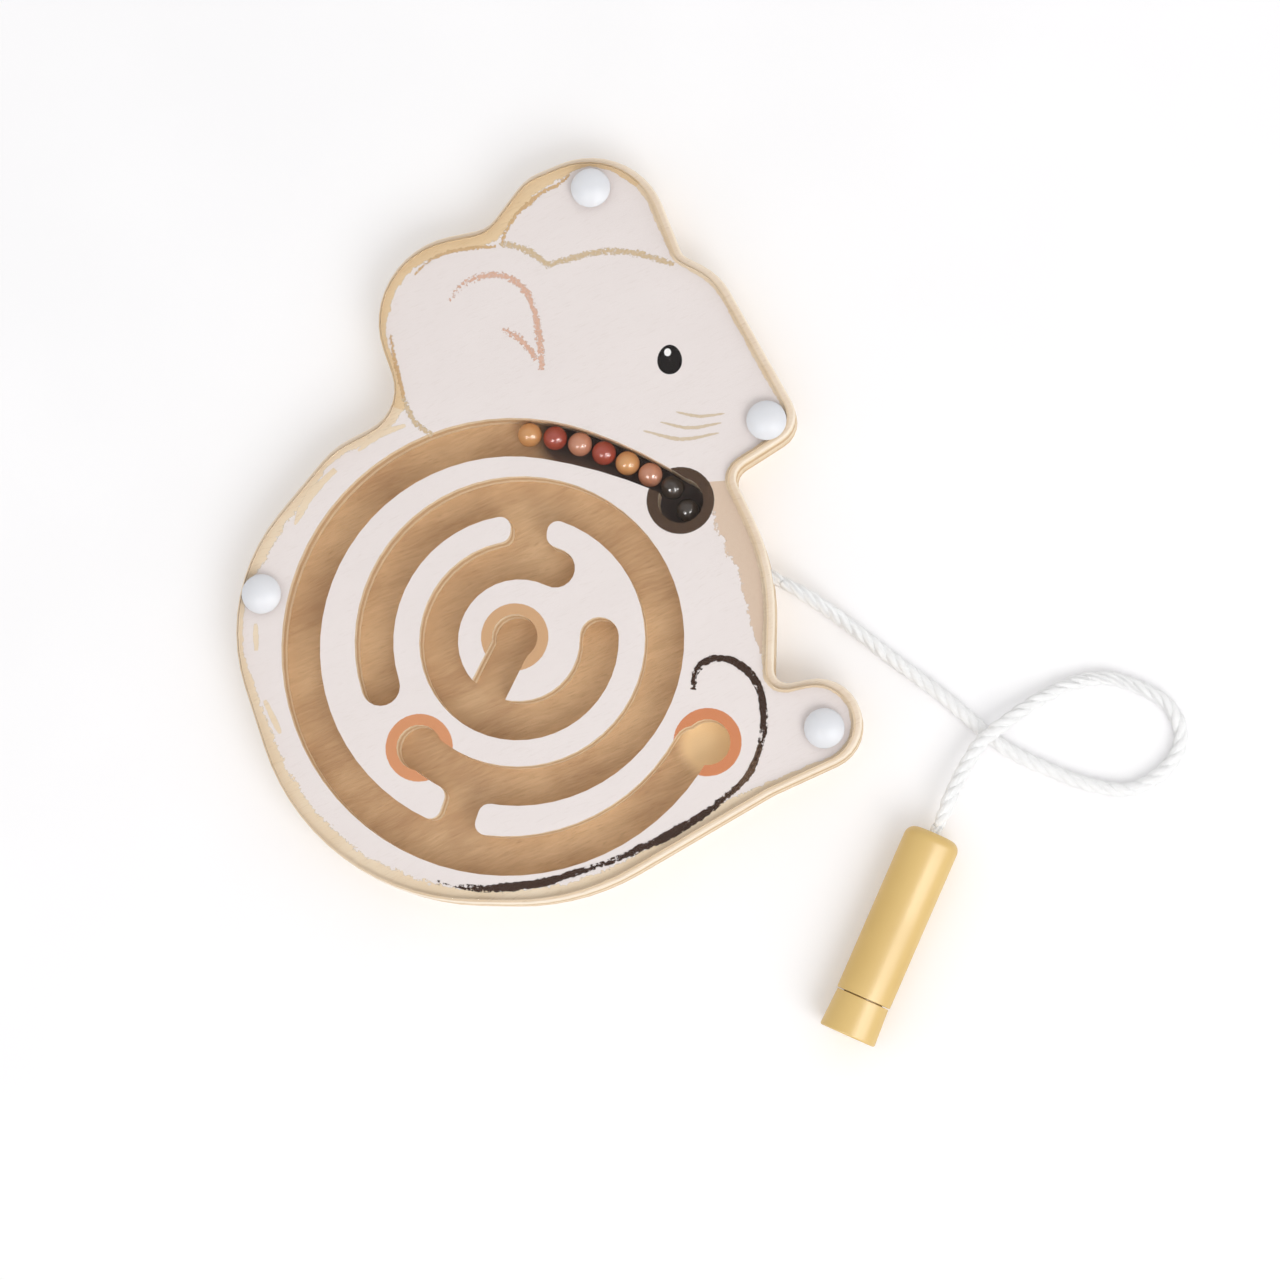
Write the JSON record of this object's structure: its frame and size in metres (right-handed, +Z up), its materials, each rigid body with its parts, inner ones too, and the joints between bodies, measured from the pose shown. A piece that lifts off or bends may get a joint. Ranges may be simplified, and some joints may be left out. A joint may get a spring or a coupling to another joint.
{
  "type": "magnetic maze board",
  "caption": "Mouse-shaped plywood ball maze under a clear cover; a magnet wand on a cord draws painted steel balls along ring channels to coloured pockets.",
  "frame": {"origin": "centre of the two inner maze rings, on the underside of the base board", "axes": "+Z up out of the printed face, +X towards the nose side, +Y towards the ears"},
  "size_m": [0.2323, 0.2195, 0.0162],
  "materials": {
    "birch_ply": "sanded plywood, clear lacquer",
    "printed_ply": "plywood, face printed pale warm grey",
    "acrylic": "clear, polished",
    "white_plastic": "glossy white",
    "mustard_plastic": "satin mustard",
    "magnet": "nickel plated",
    "cotton": "white twisted cotton",
    "paint_caramel": "satin caramel paint",
    "paint_terracotta": "satin terracotta paint",
    "paint_blush": "satin blush paint",
    "paint_dark": "satin dark brown paint"
  },
  "bodies": {
    "board": {"base_board": "birch_ply", "maze_board": "printed_ply", "clear_cover": "acrylic", "rivet_cap_ear": "white_plastic", "rivet_pin_ear": "white_plastic", "rivet_cap_nose": "white_plastic", "rivet_pin_nose": "white_plastic", "rivet_cap_back": "white_plastic", "rivet_pin_back": "white_plastic", "rivet_cap_foot": "white_plastic", "rivet_pin_foot": "white_plastic", "cord_tail": "cotton"},
    "ball_1": {"ball_caramel_1": "paint_caramel"},
    "ball_2": {"ball_terracotta_1": "paint_terracotta"},
    "ball_3": {"ball_blush_1": "paint_blush"},
    "ball_4": {"ball_terracotta_2": "paint_terracotta"},
    "ball_5": {"ball_caramel_2": "paint_caramel"},
    "ball_6": {"ball_blush_2": "paint_blush"},
    "ball_7": {"ball_dark_1": "paint_dark"},
    "ball_8": {"ball_dark_2": "paint_dark"},
    "cord": {"cord": "cotton"},
    "wand": {"wand_barrel": "mustard_plastic", "wand_tip": "mustard_plastic", "wand_magnet": "magnet", "cord_knot": "cotton"}
  },
  "joints": [
    {"name": "ball_1_roll", "type": "hinge", "parent": "board", "child": "ball_1", "pos_m": [-0.0024, -0.0012, 0.0071], "axis": [0, 0, 1], "range_deg": [0, 248]},
    {"name": "ball_2_roll", "type": "hinge", "parent": "board", "child": "ball_2", "pos_m": [-0.0024, -0.0012, 0.0071], "axis": [0, 0, 1], "range_deg": [0, 248]},
    {"name": "ball_3_roll", "type": "hinge", "parent": "board", "child": "ball_3", "pos_m": [-0.0024, -0.0012, 0.0071], "axis": [0, 0, 1], "range_deg": [0, 248]},
    {"name": "ball_4_roll", "type": "hinge", "parent": "board", "child": "ball_4", "pos_m": [-0.02135, -0.05326, 0.0071], "axis": [0, 0, 1], "range_deg": [0, 5.5]},
    {"name": "ball_5_roll", "type": "hinge", "parent": "board", "child": "ball_5", "pos_m": [-0.02135, -0.05326, 0.0071], "axis": [0, 0, 1], "range_deg": [0, 5.5]},
    {"name": "ball_6_roll", "type": "hinge", "parent": "board", "child": "ball_6", "pos_m": [-0.02135, -0.05326, 0.0071], "axis": [0, 0, 1], "range_deg": [0, 5.5]},
    {"name": "ball_7_roll", "type": "hinge", "parent": "board", "child": "ball_7", "pos_m": [-0.02135, -0.05326, 0.0071], "axis": [0, 0, 1], "range_deg": [0, 5.5]},
    {"name": "ball_8_roll", "type": "hinge", "parent": "board", "child": "ball_8", "pos_m": [-0.04132, -0.03396, 0.0071], "axis": [0, 0, 1], "range_deg": [0, 3]},
    {"name": "cord_swing", "type": "hinge", "parent": "board", "child": "cord", "pos_m": [0.0642, 0.01429, 0.0075], "axis": [0, 0, 1], "range_deg": [-12, 35]},
    {"name": "wand_swivel", "type": "hinge", "parent": "cord", "child": "wand", "pos_m": [0.10167, -0.04596, 0.0072], "axis": [0, 0, 1], "range_deg": [-35, 35]}
  ],
  "couplings": [
    {"joint": "ball_2_roll", "follows": "ball_1_roll", "ratio": 1},
    {"joint": "ball_3_roll", "follows": "ball_1_roll", "ratio": 1},
    {"joint": "ball_4_roll", "follows": "ball_1_roll", "ratio": 0.022},
    {"joint": "ball_5_roll", "follows": "ball_1_roll", "ratio": 0.022},
    {"joint": "ball_6_roll", "follows": "ball_1_roll", "ratio": 0.022},
    {"joint": "ball_7_roll", "follows": "ball_1_roll", "ratio": 0.022},
    {"joint": "ball_8_roll", "follows": "ball_1_roll", "ratio": 0.012}
  ]
}
